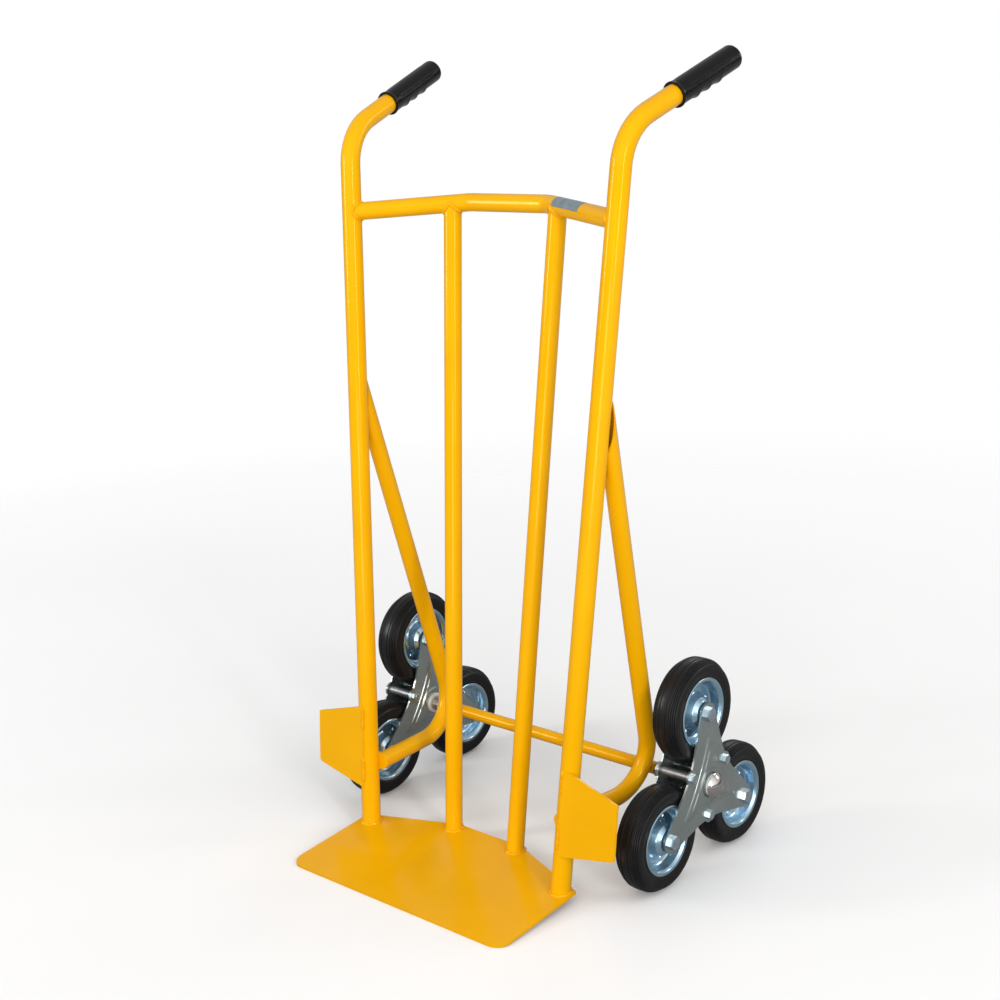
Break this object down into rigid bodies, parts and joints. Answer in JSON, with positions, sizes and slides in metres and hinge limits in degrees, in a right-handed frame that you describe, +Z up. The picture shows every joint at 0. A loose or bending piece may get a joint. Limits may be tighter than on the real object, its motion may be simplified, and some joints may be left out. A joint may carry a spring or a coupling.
{
  "type": "stair climbing hand truck",
  "caption": "Tubular steel sack truck with a toe plate, splayed rails with bent handles and grips, rear braces, an axle and a three-wheel star at each side for climbing stairs.",
  "frame": {"origin": "centre of the bounding box's bottom face, on the floor", "axes": "+Z up; +X to the right seen from the front; +Y to the rear, where the wheels and grips are; the toe plate is at -Y; the left and right halves mirror in X = 0"},
  "size_m": [0.6696, 0.5548, 1.2034],
  "materials": {
    "paint": "gloss yellow powder coat",
    "bare_steel": "turned steel",
    "chrome": "polished",
    "plate_zinc": "satin zinc plated sheet",
    "bright_zinc": "bright zinc plated",
    "rim_zinc": "bright blue-white zinc plated",
    "nylon": "natural nylon",
    "tyre": "solid rubber, ribbed",
    "grip": "moulded soft plastic"
  },
  "bodies": {
    "frame": {"rail_left": "paint", "upright_left": "paint", "wheel_guard_left": "paint", "rear_bracket_left": "paint", "grip_left": "grip", "rail_right": "paint", "upright_right": "paint", "wheel_guard_right": "paint", "rear_bracket_right": "paint", "grip_right": "grip", "top_crossbar": "paint", "toe_plate": "paint", "axle_bar": "bare_steel", "axle_tube": "paint", "axle_washers": "bare_steel", "axle_caps": "chrome"},
    "star_left": {"star_left_outer_plate": "plate_zinc", "star_left_inner_plate": "plate_zinc", "star_left_hub_tube": "plate_zinc", "star_left_bushes": "nylon", "star_left_spacers": "bright_zinc", "star_left_wheel_bolts": "bright_zinc", "star_left_spacer_bolts": "bright_zinc", "star_left_nuts": "bright_zinc"},
    "wheel_left_top": {"wheel_left_top_tyre": "tyre", "wheel_left_top_rim_outer": "rim_zinc", "wheel_left_top_rim_inner": "rim_zinc", "wheel_left_top_hub": "rim_zinc"},
    "wheel_left_front": {"wheel_left_front_tyre": "tyre", "wheel_left_front_rim_outer": "rim_zinc", "wheel_left_front_rim_inner": "rim_zinc", "wheel_left_front_hub": "rim_zinc"},
    "wheel_left_rear": {"wheel_left_rear_tyre": "tyre", "wheel_left_rear_rim_outer": "rim_zinc", "wheel_left_rear_rim_inner": "rim_zinc", "wheel_left_rear_hub": "rim_zinc"},
    "star_right": {"star_right_outer_plate": "plate_zinc", "star_right_inner_plate": "plate_zinc", "star_right_hub_tube": "plate_zinc", "star_right_bushes": "nylon", "star_right_spacers": "bright_zinc", "star_right_wheel_bolts": "bright_zinc", "star_right_spacer_bolts": "bright_zinc", "star_right_nuts": "bright_zinc"},
    "wheel_right_top": {"wheel_right_top_tyre": "tyre", "wheel_right_top_rim_outer": "rim_zinc", "wheel_right_top_rim_inner": "rim_zinc", "wheel_right_top_hub": "rim_zinc"},
    "wheel_right_front": {"wheel_right_front_tyre": "tyre", "wheel_right_front_rim_outer": "rim_zinc", "wheel_right_front_rim_inner": "rim_zinc", "wheel_right_front_hub": "rim_zinc"},
    "wheel_right_rear": {"wheel_right_rear_tyre": "tyre", "wheel_right_rear_rim_outer": "rim_zinc", "wheel_right_rear_rim_inner": "rim_zinc", "wheel_right_rear_hub": "rim_zinc"}
  },
  "joints": [
    {"name": "star_left_turn", "type": "hinge", "parent": "frame", "child": "star_left", "pos_m": [-0.285, 0.09994, 0.13625], "axis": [1, 0, 0], "continuous": true},
    {"name": "wheel_left_top_turn", "type": "hinge", "parent": "star_left", "child": "wheel_left_top", "pos_m": [-0.285, 0.09994, 0.24875], "axis": [1, 0, 0], "continuous": true},
    {"name": "wheel_left_front_turn", "type": "hinge", "parent": "star_left", "child": "wheel_left_front", "pos_m": [-0.285, 0.00251, 0.08], "axis": [1, 0, 0], "continuous": true},
    {"name": "wheel_left_rear_turn", "type": "hinge", "parent": "star_left", "child": "wheel_left_rear", "pos_m": [-0.285, 0.19736, 0.08], "axis": [1, 0, 0], "continuous": true},
    {"name": "star_right_turn", "type": "hinge", "parent": "frame", "child": "star_right", "pos_m": [0.285, 0.09994, 0.13625], "axis": [1, 0, 0], "continuous": true},
    {"name": "wheel_right_top_turn", "type": "hinge", "parent": "star_right", "child": "wheel_right_top", "pos_m": [0.285, 0.09994, 0.24875], "axis": [1, 0, 0], "continuous": true},
    {"name": "wheel_right_front_turn", "type": "hinge", "parent": "star_right", "child": "wheel_right_front", "pos_m": [0.285, 0.00251, 0.08], "axis": [1, 0, 0], "continuous": true},
    {"name": "wheel_right_rear_turn", "type": "hinge", "parent": "star_right", "child": "wheel_right_rear", "pos_m": [0.285, 0.19736, 0.08], "axis": [1, 0, 0], "continuous": true}
  ]
}
